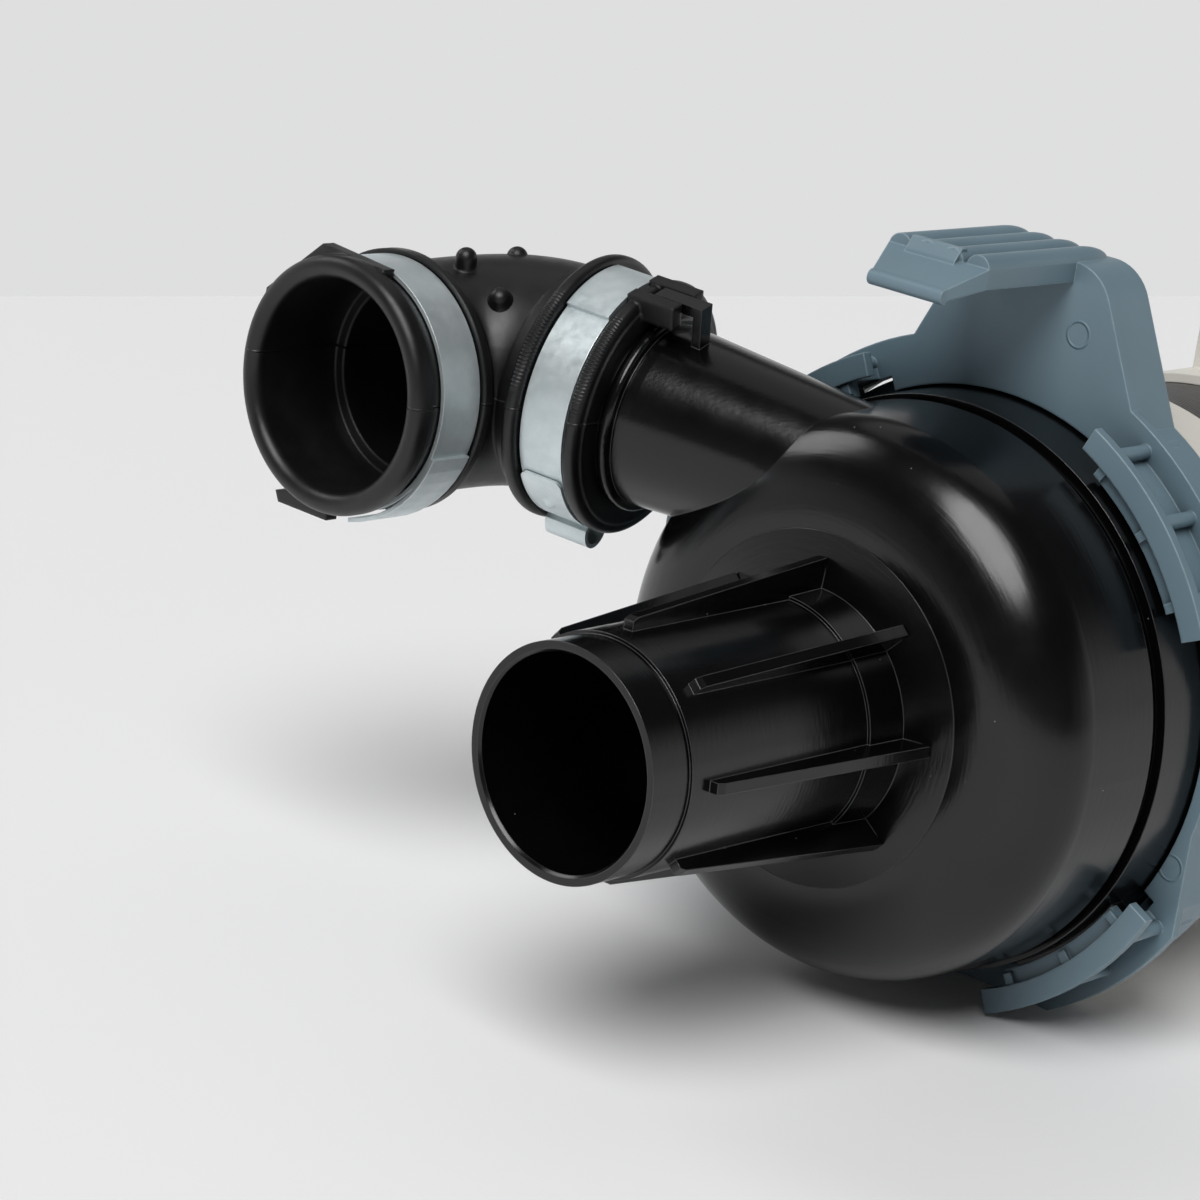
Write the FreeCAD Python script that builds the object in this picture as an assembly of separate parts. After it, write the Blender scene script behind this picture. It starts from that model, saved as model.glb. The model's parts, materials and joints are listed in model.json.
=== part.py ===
"""Wash pump motor of a dishwasher.

Millimetres. The pump axis is the Y axis, the inlet faces -Y and the motor lies
towards +Y. The hook of the motor bracket is on top, +Z. The origin is the centre
of the inlet mouth. Angles about the pump axis are counted from +X towards +Z.
"""
import FreeCAD, Part
import math
import os

V = FreeCAD.Vector
BACKWARDS = V(0, 1, 0)
TURN_AXIS = V(0, -1, 0)

# Inlet spigot
inlet_r = 20.0
inlet_wall = 1.8
inlet_cuff_length = 8.7
inlet_chamfer = 0.5
inlet_body_r = 20.6
inlet_collar_y = 52.5
inlet_collar_r = 21.7
inlet_root_r = 22.1
rib_count = 8
rib_turn = 2.5
rib_front_y = 13.0
rib_front_r = 22.9
rib_rear_r = 27.4
rib_thickness = 2.0

# Volute bowl
face_y = 61.0
crease_r = 31.5
crease_depth = 1.6
bowl_r = 50.4
shoulder_depth = 14.0
volute_wall = 2.3
bowl_rim_y = 92.0
bowl_rim_r = bowl_r + 1.0
joint_spigot_r = bowl_r - 0.4
joint_spigot_length = 8.0
joint_spigot_wall = 3.2

# Outlet pipe, whose lengths run along its own axis from the point above the pump's axis
outlet_y = 83.6
outlet_z = 34.2
outlet_yaw = 10.5
outlet_rise = 4.3
outlet_root_r = 13.65
outlet_neck = 50.0
outlet_neck_r = 17.0
outlet_end = 76.0
outlet_wall = 2.2
outlet_bead = 52.6
outlet_bead_r = 18.6
outlet_bead_width = 2.2
key_width = 3.4
key_length = 10.0
key_r = 24.4
key_wall = 1.8
key_turn = 15.0

# Rear cover
cover_y = 94.5
cover_fit = 0.2
cover_front_wall = 2.0
cover_r = joint_spigot_r + cover_fit + cover_front_wall
cover_back_r = cover_r + 0.5
cover_back_y = 109.0
cover_wall = 2.4
cover_web_y = 101.0
cover_web = 3.0
cover_boss_r = 15.5
cover_boss_front = 4.5
cover_boss_back = 2.0
lug_r = cover_back_r + 2.5
lug_width = 3.0
seal_ring_section = 0.9
seal_groove_y = 97.6

# Motor bracket
plate_y = 105.5
plate_wall = 3.0
plate_edge = 2.0
plate_half_width = cover_back_r + 1.3
plate_hole_gap = 0.4
ear_room = 20.0
rim_wall = 2.4
rim_inset = 2.4
rim_back_y = 117.5
web_y = 113.0
web_wall = 3.0
web_vents = 8
vent_start = 6.0
vent_end = 39.0
vent_margin = 5.0
screw_post_r = 4.6
screw_post_gap = 0.9
through_screw_pcr = cover_back_r - cover_wall - screw_post_gap - screw_post_r
bearing_seat_overhang = 0.5
clip_count = 4
clip_start = 24.5
clip_end = 64.0
outlet_clip_end = 42.0
clip_inset = 5.5
clip_inset_end = 4.5
clip_slot_margin = 3.0
clip_in_r = lug_r + 0.8
clip_out_r = clip_in_r + 2.0
clip_front_y = 95.5
clip_flange_r = clip_out_r + 2.4
clip_flange = 2.0
plate_r = clip_out_r + 4.5
lip_in_r = cover_back_r + 0.5
lip_y = 97.0
lip_wall = 1.8
clip_ribs = 3
clip_rib_width = 1.8
clip_rib_rise = 0.6
clip_bar_r = 1.3
clip_bar_back_y = 115.0
lip_gap = 0.3
lug_clearance = 1.5
arm_top_z = 79.2
arm_top_half = 15.7
arm_top_left = 12.0
arm_corner_r = 9.0
arm_slope = 0.4785
ear_x = -73.5
ear_top_z = 14.0
ear_bottom_z = -16.0
ear_corner_r = 5.0

# Hook on the bracket's arm
hook_lip_y = 72.0
hook_fin_y = 80.0
hook_front_half = 8.0
hook_wall = 3.6
hook_lip_wall = 2.2
hook_lip_drop = 3.5
hook_bead_r = 1.4
hook_ridges = 4
hook_ridge_pitch = 5.6
hook_ridge_shift = -0.6
hook_ridge_r = 2.5
hook_ridge_rise = 2.0
hook_ridge_nose = 8.0
hook_fin_shift = -1.6
hook_fin_half = 5.4
hook_fin_back = 2.8
hook_fin_width = 4.4
hook_fin_rise = 2.1

# Rubber elbow
elbow_x = -91.2
elbow_z = 37.0
elbow_r = 22.0
elbow_bore_r = 17.2
elbow_start = 55.4
elbow_bend = 74.4
elbow_leg_y = 47.9
elbow_handle = 10.9
elbow_neck = 0.6
elbow_mouth_y = 27.5
cuff_r = 22.2
cuff_ring_r = 25.1
cuff_front_ring_r = 24.0
cuff_ring_width = 2.8
cuff_gap = 0.1
ring_gap = 0.4
cuff_bore_r = 19.4
mouth_lip_r = 23.5
mouth_lip_length = 4.6
mouth_flange = 2.6
mouth_flange_r = 24.0
mouth_corner_r = 25.6
mouth_corners = (110, 150, 194)
mouth_flange_start = 72
mouth_flange_stop = 224
mouth_tab = 14.0
mouth_tab_wall = 2.4
fork_length = 9.8
fork_wall = 2.8
fork_height = 2.3
fork_gap = 0.4
nub_r = 2.0
nub_height = 2.2
nub_stem = 5.0
nub_places = ((5.2, 53.9, 1.8), (5.6, 66.9, 1.4), (14.0, 53.6, -5.0))

# Hose clamps
clamp_width = 9.0
clamp_wall = 0.8
clamp_gap = 0.1
clamp_ear_width = 7.0
clamp_ear_height = 4.6
clamp_lap = 40.0
clamp_lap_turn = 10.0
pipe_clamp_place = 63.5
pipe_clamp_turn = 10.0
free_clamp_y = 38.7
clamp_tail_start = -21.0
clamp_tail_end = -84.0
clamp_tail_lift = 1.6
clamp_tail_steps = 9

# Shaft, impeller and shaft seal
shaft_r = 4.0
shaft_rear_end = 7.0
running_gap = 0.05
impeller_r = 40.0
impeller_eye_r = 17.0
impeller_front_y = 69.0
impeller_back_y = 86.0
impeller_wall = 1.8
impeller_blades = 6
impeller_blade_sweep = 62.0
impeller_blade_root = 4.0
impeller_hub_r = 8.0
impeller_hub_front = 8.0
impeller_hub_back_y = 89.5
impeller_blade_depth = 14.0
impeller_outlet = 8.5
nut_r = 6.5
nut_length = 8.0
nut_cap = 1.6
thread_r = 3.0
seal_r = 9.0
seal_length = 4.0
seat_length = 4.5
seat_recess = 0.6
seat_cup_wall = 1.6
slinger_r = 13.0
slinger_lead = 3.2

# Bearings, both of one size
bearing_bore_r = shaft_r
bearing_r = 11.0
bearing_width = 7.0
bearing_pitch_r = 7.5
bearing_ball_r = 1.95
bearing_balls = 7
race_wall = 1.6
cage_wall = 1.2
cage_edge = 1.2
ball_gap = 0.05
race_gap = 0.03
front_bearing_y = 112.0
bearing_boss_wall = 3.5
washer_wall = 0.6
clip_ring_width = 1.0
clip_ring_rise = 2.2
clip_ring_start = 120.0
clip_ring_turn = 300.0

# Motor
stator_r = through_screw_pcr + 3.2
stator_depth = 18.3
rotor_r = through_screw_pcr - stator_depth
air_gap = 0.5
stator_bore_r = rotor_r + air_gap
stator_front_y = 146.0
stator_length = 32.0
stator_slots = 12
slot_in_r = stator_bore_r + 2.5
slot_out_r = through_screw_pcr - 5.8
slot_half_angle = 9.5
slot_mouth_half = 2.6
winding_cover_r = stator_r + 2.0
winding_cover_wall = 1.8
winding_lap = 3.0
winding_front_room = 7.7
winding_rear_room = 1.2
winding_ledge = 1.6
winding_post_wall = 1.6
stator_gap = 0.1
winding_in_r = slot_in_r + 1.0
winding_out_r = through_screw_pcr - 3.8
winding_length = 15.0
winding_stand_off = 2.0
winding_cover_front_y = (stator_front_y - winding_stand_off - winding_length
                         - winding_front_room - winding_cover_wall)
winding_cover_rear_y = (stator_front_y + stator_length + winding_stand_off + winding_length
                        + winding_rear_room + winding_cover_wall)
shaft_rear_y = winding_cover_rear_y + shaft_rear_end
end_ring_width = 5.0
rotor_fins = 8
through_screws = 4
through_screw_r = 2.0
screw_hole_gap = 0.2
screw_head_r = 3.8
screw_head = 2.6
screw_bite = 3.0
end_shield_wall = 2.5
shield_floor = 2.0
terminal_width = 26.0
terminal_depth = 12.0
terminal_height = 11.0
terminal_wall = 1.6
terminal_floor = 2.6
terminal_root = 3.0
terminal_count = 3
terminal_pitch = 7.0
tab_width = 6.3
tab_wall = 0.8
tab_length = 8.0


def outline(start, *steps):
    """Closed face in the X-Y plane, X as the radius; a step of three points is a curve."""
    edges = []
    here = V(*start)
    for step in steps:
        if isinstance(step[0], tuple):
            curve = Part.BezierCurve()
            curve.setPoles([here] + [V(*point) for point in step])
            edges.append(curve.toShape())
            here = V(*step[-1])
        else:
            edges.append(Part.makeLine(here, V(*step)))
            here = V(*step)
    edges.append(Part.makeLine(here, V(*start)))
    return Part.Face(Part.Wire(edges))


def turned(shape, angle):
    """Copy of a shape turned about the pump axis, from +X towards +Z."""
    copy = shape.copy()
    copy.rotate(V(0, 0, 0), TURN_AXIS, angle)
    return copy


def revolved(start, *steps):
    """Solid of revolution about the pump axis from an outline of (radius, y)."""
    return outline(start, *steps).revolve(V(0, 0, 0), TURN_AXIS, 360)


def ring(r_out, r_in, y, length):
    """Plain ring about the pump axis, or a disc where the inner radius is 0."""
    solid = Part.makeCylinder(r_out, length, V(0, y, 0), BACKWARDS)
    if r_in > 0:
        solid = solid.cut(Part.makeCylinder(r_in, length + 2, V(0, y - 1, 0), BACKWARDS))
    return solid


def sector(r_in, r_out, y, length, start, end):
    """Part of a ring between two angles."""
    face = outline((r_in, y), (r_out, y), (r_out, y + length), (r_in, y + length))
    return turned(face.revolve(V(0, 0, 0), TURN_AXIS, end - start), start)


def radial_plate(points, thickness, angle):
    """Flat plate that stands radially, from an outline of (radius, y)."""
    face = outline(*points)
    face.translate(V(0, 0, -thickness / 2))
    return turned(face.extrude(V(0, 0, thickness)), angle)


def around(shape, count, start=0.0):
    """Copies of a shape spaced evenly about the pump axis."""
    return [turned(shape, start + 360.0 * i / count) for i in range(count)]


def fused(first, *others):
    """One solid from several that overlap."""
    return first.fuse(list(others)).removeSplitter()


def prism(points, y, length):
    """Plate square to the pump axis from an outline of (x, z)."""
    corners = [V(x, y, z) for x, z in points]
    return Part.Face(Part.makePolygon(corners + corners[:1])).extrude(V(0, length, 0))


def side_prism(points, half_width):
    """Plate centred on the Y-Z plane from an outline of (y, z)."""
    corners = [V(-half_width, y, z) for y, z in points]
    return Part.Face(Part.makePolygon(corners + corners[:1])).extrude(V(2 * half_width, 0, 0))


def plan_prism(points, z, height):
    """Block from an outline of (x, y) seen from above."""
    corners = [V(x, y, z) for x, y in points]
    return Part.Face(Part.makePolygon(corners + corners[:1])).extrude(V(0, 0, height))


def polar(radius, angle):
    """Point at a radius and an angle in degrees."""
    return (radius * math.cos(math.radians(angle)), radius * math.sin(math.radians(angle)))


def volute_inlet():
    """Front of the volute: the ribbed spigot and the disc that it stands on."""
    crease_y = face_y + crease_depth
    back = crease_y + volute_wall
    outer = revolved(
        (0, 0), (inlet_r, 0), (inlet_r, inlet_cuff_length),
        (inlet_body_r, inlet_cuff_length), (inlet_body_r + 0.5, inlet_collar_y),
        (inlet_collar_r, inlet_collar_y), (inlet_root_r, face_y), (crease_r, crease_y),
        (crease_r, back), (0, back))
    rib = radial_plate(
        [(inlet_body_r - 0.6, rib_front_y), (rib_front_r - 0.6, rib_front_y),
         (rib_front_r, rib_front_y + 1.2), (rib_rear_r, face_y + 0.5),
         (inlet_body_r - 0.6, face_y + 0.5)],
        rib_thickness, rib_turn)
    bore = inlet_r - inlet_wall
    passage = revolved(
        (0, -1), (bore + inlet_chamfer, -1), (bore + inlet_chamfer, 0), (bore, inlet_chamfer),
        (bore, back + 1), (0, back + 1))
    return fused(outer, *around(rib, rib_count)).cut(passage)


def pump_volute():
    """Bowl of the volute with its outlet pipe, behind the inlet's disc."""
    crease_y = face_y + crease_depth
    shoulder_y = crease_y + shoulder_depth
    end_y = bowl_rim_y + joint_spigot_length
    bulge = (bowl_r - crease_r) * 0.55
    outer = revolved(
        (0, crease_y), (crease_r, crease_y),
        ((crease_r + bulge, crease_y), (bowl_r, shoulder_y - shoulder_depth * 0.55),
         (bowl_r, shoulder_y)),
        (bowl_rim_r, bowl_rim_y), (joint_spigot_r, bowl_rim_y), (joint_spigot_r, end_y), (0, end_y))
    outer = fused(outer, outlet_outside())
    wall = volute_wall
    chamber_front = crease_y + wall
    chamber_r = bowl_r - wall
    throat_r = joint_spigot_r - joint_spigot_wall
    chamber = revolved(
        (0, crease_y - 1), (crease_r, crease_y - 1), (crease_r, chamber_front),
        ((crease_r + bulge, chamber_front), (chamber_r, shoulder_y - shoulder_depth * 0.4),
         (chamber_r, shoulder_y + wall)),
        (chamber_r, bowl_rim_y - 2), (throat_r, bowl_rim_y), (throat_r, end_y + 1), (0, end_y + 1))
    return outer.cut([chamber, outlet_inside(), seal_groove()])


def on_outlet(shape):
    """Move a piece made about the -X axis onto the outlet pipe's own axis."""
    placed = shape.copy()
    placed.rotate(V(0, 0, 0), V(0, 1, 0), outlet_rise)
    placed.rotate(V(0, 0, 0), V(0, 0, 1), outlet_yaw)
    placed.translate(V(0, outlet_y, outlet_z))
    return placed


def pipe_disc(radius, start, length):
    """Cylinder about the -X axis, from start outward."""
    return Part.makeCylinder(radius, length, V(-start, 0, 0), V(-1, 0, 0))


def outlet_outside():
    """Outside of the tapered outlet pipe with its bead, its sleeve end and the elbow's key."""
    taper = Part.makeCone(outlet_root_r, outlet_neck_r, outlet_neck, V(0, 0, 0), V(-1, 0, 0))
    nose = Part.makeSphere(outlet_root_r)
    sleeve = pipe_disc(outlet_neck_r, outlet_neck, outlet_end - outlet_neck)
    bead = round_edged(pipe_disc(outlet_bead_r, outlet_bead, outlet_bead_width), outlet_bead_width * 0.4)
    foot_r = outlet_neck_r - outlet_wall
    far = -outlet_bead - outlet_bead_width
    bar = Part.makeBox(key_length, key_width, key_wall, V(far, -key_width / 2, key_r - key_wall))
    plate = Part.makeBox(key_wall, key_width, key_r - foot_r,
                         V(far + key_length - key_wall, -key_width / 2, foot_r))
    return on_outlet(fused(taper, nose, sleeve, bead, leaning(bar.fuse(plate))))


def round_edged(disc, radius):
    """Disc with both rims rounded."""
    return disc.makeFillet(radius, [edge for edge in disc.Edges if edge.isClosed()])


def leaning(shape):
    """Turn a piece made on top of the pipe towards the front."""
    placed = shape.copy()
    placed.rotate(V(0, 0, 0), V(1, 0, 0), key_turn)
    return placed


def outlet_inside():
    """Bore of the outlet pipe, from the chamber to the pipe's end."""
    root_r = outlet_root_r - outlet_wall
    bore = Part.makeCone(root_r, outlet_neck_r - outlet_wall, outlet_end + 1, V(0, 0, 0), V(-1, 0, 0))
    return on_outlet(fused(bore, Part.makeSphere(root_r)))


def seal_groove():
    """Groove for the sealing ring in the volute's joint spigot."""
    depth = 2 * seal_ring_section
    return ring(joint_spigot_r + 1, joint_spigot_r - depth, seal_groove_y - seal_ring_section - 0.2,
                2 * seal_ring_section + 0.4)


def cover_seal():
    """Rubber sealing ring between the volute and the rear cover."""
    return Part.makeTorus(joint_spigot_r - seal_ring_section + 0.1, seal_ring_section,
                          V(0, seal_groove_y, 0), BACKWARDS)


def rear_cover():
    """Cup that closes the volute, with four bayonet lugs and the seal's seat in its web."""
    inside = joint_spigot_r + cover_fit
    hole = shaft_r + 1.0
    seat = seal_r + seat_cup_wall
    web_back = cover_web_y + cover_web
    cup = revolved(
        (inside, cover_y), (cover_r, cover_y), (cover_back_r, cover_back_y),
        (cover_back_r - cover_wall, cover_back_y), (cover_back_r - cover_wall, web_back),
        (cover_boss_r, web_back), (cover_boss_r - 1.5, web_back + cover_boss_back),
        (hole, web_back + cover_boss_back), (hole, web_back), (seat, web_back),
        (seat, cover_web_y - cover_boss_front), (cover_boss_r, cover_web_y - cover_boss_front),
        (cover_boss_r, cover_web_y), (inside, cover_web_y))
    lugs = []
    for start, end in clip_spans():
        lugs.append(sector(cover_back_r - 1.0, lug_r, lip_y + lip_wall + lip_gap, lug_width,
                           start + clip_inset + lug_clearance, end - clip_inset))
    return fused(cup, *lugs)


def clip_spans():
    """First and last angle of each clip; the second is shorter, to clear the outlet pipe."""
    spans = []
    for i in range(clip_count):
        end = outlet_clip_end if i == 1 else clip_end
        spans.append((clip_start + 360.0 * i / clip_count, end + 360.0 * i / clip_count))
    return spans


def clip(first, last):
    """One ribbed clip of the bracket: band, outer flange, inward lip and ribs."""
    start = first + clip_inset
    end = last - clip_inset_end
    band = sector(clip_in_r, clip_out_r, clip_front_y, plate_y + 1 - clip_front_y, start, end)
    flange = sector(clip_in_r, clip_flange_r, clip_front_y, clip_flange, first, last)
    lip = sector(lip_in_r, clip_in_r + 0.5, lip_y, lip_wall, start, end)
    pieces = [flange, lip]
    width = math.degrees(clip_rib_width / clip_in_r)
    step = (end - start - width) / (clip_ribs - 1)
    for i in range(clip_ribs):
        side = start + i * step
        bar = Part.makeCylinder(clip_bar_r, clip_bar_back_y - clip_front_y - 1, V(
            clip_flange_r - clip_bar_r, clip_front_y + 1, 0), BACKWARDS)
        pieces.append(turned(bar, side + width / 2))
        pieces.append(sector(lip_in_r + clip_rib_rise, clip_in_r + 0.5, clip_front_y + clip_rib_rise,
                             lip_y + 0.5 - clip_front_y - clip_rib_rise, side, side + width))
    return fused(band, *pieces)


def plate_outline(inset, disc_inset, depth):
    """Solid block of the bracket's plan: a disc with four flats, the arm and the side ear."""
    disc = Part.makeCylinder(plate_r - disc_inset, depth, V(0, plate_y, 0), BACKWARDS)
    half = plate_half_width - inset
    square = Part.makeBox(2 * half, depth, 2 * half + ear_room, V(-half, plate_y, -half))
    top = arm_top_z - inset
    foot = clip_out_r * 0.75
    spread = arm_slope * (arm_top_z - foot) - inset
    arm = prism([(-arm_top_left + inset, top), (arm_top_half - inset, top), (arm_top_half + spread, foot),
                 (-arm_top_left - spread, foot)], plate_y, depth)
    ear = prism([(ear_x + inset, ear_top_z - inset), (0, ear_top_z - inset),
                 (0, ear_bottom_z + inset), (ear_x + inset, ear_bottom_z + inset)], plate_y, depth)
    arm = rounded_corners(arm, arm_corner_r - inset, lambda box: box.ZMin > top - 1)
    ear = rounded_corners(ear, ear_corner_r - inset, lambda box: box.XMax < ear_x + inset + 1)
    return fused(disc.common(square), arm, ear)


def rounded_corners(block, radius, chosen):
    """Rounds a block's edges along Y whose box is chosen."""
    corners = [edge for edge in block.Edges if edge.BoundBox.YLength > 1 and chosen(edge.BoundBox)]
    return block.makeFillet(radius, corners)


def motor_bracket():
    """Shallow moulded tray with clips, hook and the front bearing's boss."""
    hole_r = cover_back_r + plate_hole_gap
    collar_r = hole_r + rim_wall
    depth = rim_back_y - plate_y
    rim = plate_outline(0, rim_inset, depth)
    room = plate_outline(rim_wall, rim_inset + rim_wall, depth)
    room.translate(V(0, plate_wall, 0))
    tray = fused(plate_outline(0, 0, plate_edge), rim).cut(room)
    collar = ring(collar_r, hole_r, plate_y, web_y + web_wall - plate_y)
    boss_r = bearing_r + bearing_boss_wall
    web = ring(hole_r + 1, bearing_r, web_y, web_wall)
    boss = ring(boss_r, bearing_r, front_bearing_y - bearing_seat_overhang,
                bearing_width + 2 * bearing_seat_overhang)
    post = Part.makeCylinder(screw_post_r, winding_cover_front_y - plate_y - 1, V(through_screw_pcr,
                             plate_y + 1, 0), BACKWARDS)
    slots = []
    for start, end in clip_spans():
        slots.append(sector(hole_r - 1, clip_in_r - 0.2, plate_y - 1, plate_wall + 2,
                            start + clip_inset - clip_slot_margin, end - clip_inset + clip_slot_margin))
    web = web.cut(vents(web_y, web_wall))
    body = tray.cut(ring(hole_r, 0, plate_y - 1, depth + 2))
    posts = around(post, through_screws, 45)
    body = fused(body, collar, web, boss, *([clip(*span) for span in clip_spans()] + posts))
    body = body.cut(slots)
    body = fused(body, hook())
    return body.cut(through_holes(plate_y, winding_cover_front_y + 1 - plate_y))


def vents(y, depth):
    """Cooling openings between the bearing's boss and the screws."""
    opening = sector(bearing_r + bearing_boss_wall + vent_margin, through_screw_pcr - screw_post_r - 1.5,
                     y - 1, depth + 2, vent_start, vent_end)
    return around(opening, web_vents)


def through_holes(y, length):
    """Clearance for the motor's through screws."""
    hole = Part.makeCylinder(through_screw_r + screw_hole_gap, length, V(through_screw_pcr, y, 0), BACKWARDS)
    return around(hole, through_screws, 45)


def hook():
    """Shelf that juts forward from the arm, with ridges, a fin and a drooping lip."""
    top = arm_top_z
    back = plate_y + 1
    lip_top = top - hook_lip_drop
    half = (hook_ridges - 1) / 2 * hook_ridge_pitch + hook_ridge_r
    left = hook_ridge_shift - half
    right = hook_ridge_shift + half
    plan = [(left, back), (right, back), (right, hook_fin_y), (hook_front_half, hook_lip_y),
            (-hook_front_half, hook_lip_y), (left, hook_fin_y)]
    shelf = side_prism(
        [(back, top), (hook_fin_y, top), (hook_lip_y, lip_top), (hook_lip_y, lip_top - hook_lip_wall),
         (hook_fin_y, top - hook_wall), (back, top - hook_wall)], max(-left, right))
    shelf = shelf.common(plan_prism(plan, lip_top - 2 * hook_wall, 4 * hook_wall + hook_lip_drop))
    pieces = []
    for i in range(hook_ridges):
        x = left + hook_ridge_r + i * hook_ridge_pitch
        pieces.append(hook_ridge(x, top + hook_ridge_rise - hook_ridge_r))
    fin_y = hook_fin_y + hook_fin_back
    crest = top + hook_fin_rise
    fin = side_prism(
        [(fin_y - hook_fin_width, top - 1.0), (fin_y - hook_fin_width * 0.9, top),
         (fin_y - hook_fin_width * 0.55, crest), (fin_y - hook_fin_width * 0.27, crest),
         (fin_y, top), (fin_y, top - 1.0)], hook_fin_half)
    fin.translate(V(hook_fin_shift, 0, 0))
    pieces.append(fin)
    pieces.append(Part.makeCylinder(hook_bead_r, 2 * hook_front_half,
                                    V(-hook_front_half, hook_lip_y, lip_top - hook_bead_r), V(1, 0, 0)))
    return fused(shelf, *pieces)


def hook_ridge(x, z):
    """One ridge of the hook: a round bar whose rear end slopes down to the arm's back."""
    r = hook_ridge_r
    nose_y = rim_back_y - hook_ridge_nose
    bar = revolved(
        (0, hook_fin_y), (r, hook_fin_y), (r, nose_y),
        ((r, nose_y + hook_ridge_nose * 0.5), (r * 0.6, rim_back_y), (0, rim_back_y)))
    bar.translate(V(x, 0, z))
    return bar


def elbow():
    """Rubber elbow that turns the outlet forward, with cuffs, rings and nubs."""
    outside = elbow_shape(elbow_r, elbow_r - elbow_neck, elbow_start, elbow_mouth_y + lip_round())
    beside = clamp_width / 2 + ring_gap
    rings = []
    for radius, place in ((cuff_front_ring_r, pipe_clamp_place - beside - cuff_ring_width),
                          (cuff_ring_r, pipe_clamp_place + beside)):
        rings.append(on_outlet(round_edged(pipe_disc(radius, place, cuff_ring_width), cuff_ring_width * 0.4)))
    rear = V(elbow_x, free_clamp_y + beside, elbow_z)
    rings.append(Part.makeCylinder(mouth_flange_r, 2.0, rear, BACKWARDS))
    body = fused(outside, mouth_lip(), *(rings + nubs() + fork()))
    bore = elbow_shape(elbow_bore_r, elbow_bore_r, elbow_start - 1, elbow_leg_y - 1)
    cuff = Part.makeCylinder(cuff_bore_r, elbow_leg_y - elbow_mouth_y + 1,
                             V(elbow_x, elbow_mouth_y - 1, elbow_z), BACKWARDS)
    socket = on_outlet(pipe_disc(outlet_neck_r + cuff_gap, elbow_start - 1, outlet_end - elbow_start + 1.2))
    return body.cut([bore, cuff, socket])


def lip_round():
    """Half the thickness of the mouth's lip, which is round in front."""
    return (mouth_lip_r - cuff_bore_r) / 2


def mouth_lip():
    """Lip of the free cuff: a round rim in front of an angular grip flange with a pull tab."""
    half = lip_round()
    soft = half * 0.45
    front = elbow_mouth_y
    back = front + mouth_lip_length
    rim = revolved(
        (cuff_bore_r, front + half),
        ((cuff_bore_r, front + soft), (cuff_bore_r + soft, front), (cuff_bore_r + half, front)),
        ((mouth_lip_r - soft, front), (mouth_lip_r, front + soft), (mouth_lip_r, front + half)),
        (mouth_lip_r, back - 1.0), (mouth_lip_r - 1.0, back), (cuff_bore_r, back))
    rim.translate(V(elbow_x, 0, elbow_z))
    flange_y = free_clamp_y - clamp_width / 2 - ring_gap - mouth_flange
    corners = [(0, 0), polar(mouth_flange_r, mouth_flange_start)]
    corners += [polar(mouth_corner_r, angle) for angle in mouth_corners]
    corners.append(polar(mouth_flange_r, mouth_flange_stop))
    grip = prism([(elbow_x + x, elbow_z + z) for x, z in corners], flange_y, mouth_flange)
    low = elbow_z - mouth_flange_r
    tab = prism([(elbow_x - mouth_tab, low + 0.6), (elbow_x - 6, low + 3), (elbow_x, low + 1),
                 (elbow_x, low - mouth_tab_wall + 1), (elbow_x - mouth_tab + 1, low - mouth_tab_wall + 1)],
                flange_y, mouth_flange)
    return fused(rim, grip, tab)


def nubs():
    """Three round nubs on the elbow: two on the crown, one on the inner shoulder."""
    crown = elbow_z + elbow_r - elbow_neck
    pieces = []
    for x, y, z in nub_places:
        top = crown + z + nub_height - nub_r
        stem = Part.makeCylinder(nub_r, nub_stem, V(elbow_x + x, y, top - nub_stem))
        pieces.append(stem.fuse(Part.makeSphere(nub_r, V(elbow_x + x, y, top))))
    return pieces


def fork():
    """Two rubber prongs on the pipe cuff that straddle the pipe's key."""
    start = pipe_clamp_place - clamp_width / 2 - ring_gap
    prongs = []
    for side in (-1, 1):
        middle = side * (key_width / 2 + fork_gap + fork_wall / 2)
        prong = Part.makeBox(fork_length, fork_wall, fork_height + 2,
                             V(-start, middle - fork_wall / 2, cuff_r - 2))
        prongs.append(on_outlet(leaning(prong)))
    return prongs


def elbow_shape(radius, bend_radius, start, mouth_y):
    """The elbow's run: from start along the outlet's axis, a bend, then forward to mouth_y."""
    first = on_outlet(pipe_disc(radius, start, elbow_bend - start))
    last = Part.makeCylinder(radius, elbow_leg_y - mouth_y, V(elbow_x, mouth_y, elbow_z), BACKWARDS)
    here = on_outlet(Part.Vertex(-elbow_bend, 0, 0)).Point
    ahead = on_outlet(Part.Vertex(-elbow_bend - elbow_handle, 0, 0)).Point
    there = V(elbow_x, elbow_leg_y, elbow_z)
    curve = Part.BezierCurve()
    curve.setPoles([here, ahead, there + V(0, elbow_handle, 0), there])
    circle = Part.Wire(Part.makeCircle(bend_radius, here, ahead - here))
    bend = Part.Wire(curve.toShape()).makePipeShell([circle], True, False)
    return fused(first, bend, last)


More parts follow.
